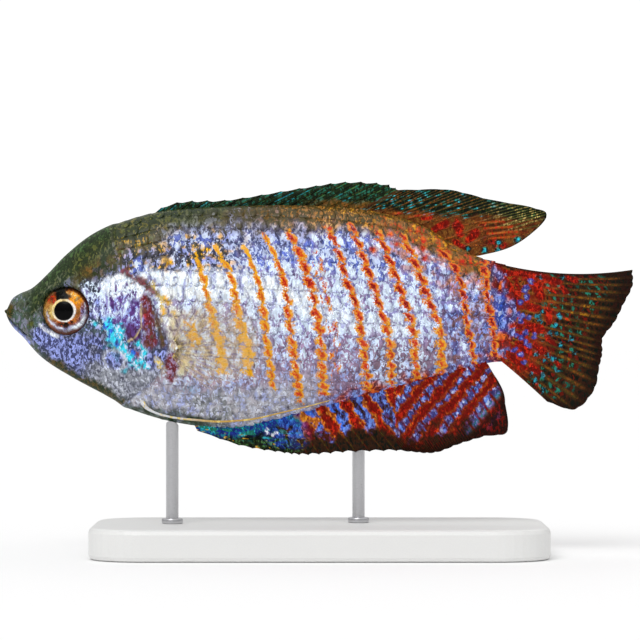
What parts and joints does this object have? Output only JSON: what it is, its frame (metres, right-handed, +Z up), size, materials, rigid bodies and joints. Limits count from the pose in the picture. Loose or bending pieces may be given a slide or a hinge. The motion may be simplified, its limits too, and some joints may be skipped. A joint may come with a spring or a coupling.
{
  "type": "dwarf gourami fish model on a display stand",
  "caption": "Life-size still model of a male dwarf gourami with spread fins, thread-like pelvic fins and barred, scaled flanks, held by rods over a flat display base.",
  "frame": {"origin": "on the underside of the stand's base, below the middle of the fish's length", "axes": "-X to the fish's snout, -Y to its left side, +Z up"},
  "size_m": [0.0802, 0.03, 0.0474],
  "materials": {
    "head_skin": "wet-looking olive-green skin with turquoise, silver and purple sheen on the cheek",
    "scaled_skin": "small overlapping scales, blue-white to periwinkle, with slanting orange-red bars",
    "fin": "ribbed fin skin, dark brown-red with blue and turquoise dots",
    "clear_fin": "nearly clear fin skin with pale rays",
    "feeler": "smooth orange-yellow thread, paler at the root",
    "eye": "polished, orange-gold iris with a pale ring round a black pupil",
    "stand_base": "satin white",
    "stand_rod": "satin"
  },
  "bodies": {
    "root": {"head": "head_skin", "lower_jaw": "head_skin", "gill_cover_left": "head_skin", "gill_cover_right": "head_skin", "eye_left": "eye", "eye_right": "eye", "torso": "scaled_skin", "tail_stem": "scaled_skin", "dorsal_fin": "fin", "anal_fin": "fin", "tail_fin": "fin", "pectoral_fin_left": "clear_fin", "pectoral_fin_right": "clear_fin", "pelvic_feeler_left": "feeler", "pelvic_feeler_right": "feeler", "stand_base": "stand_base", "stand_rod_front": "stand_rod", "stand_rod_rear": "stand_rod"}
  },
  "joints": []
}
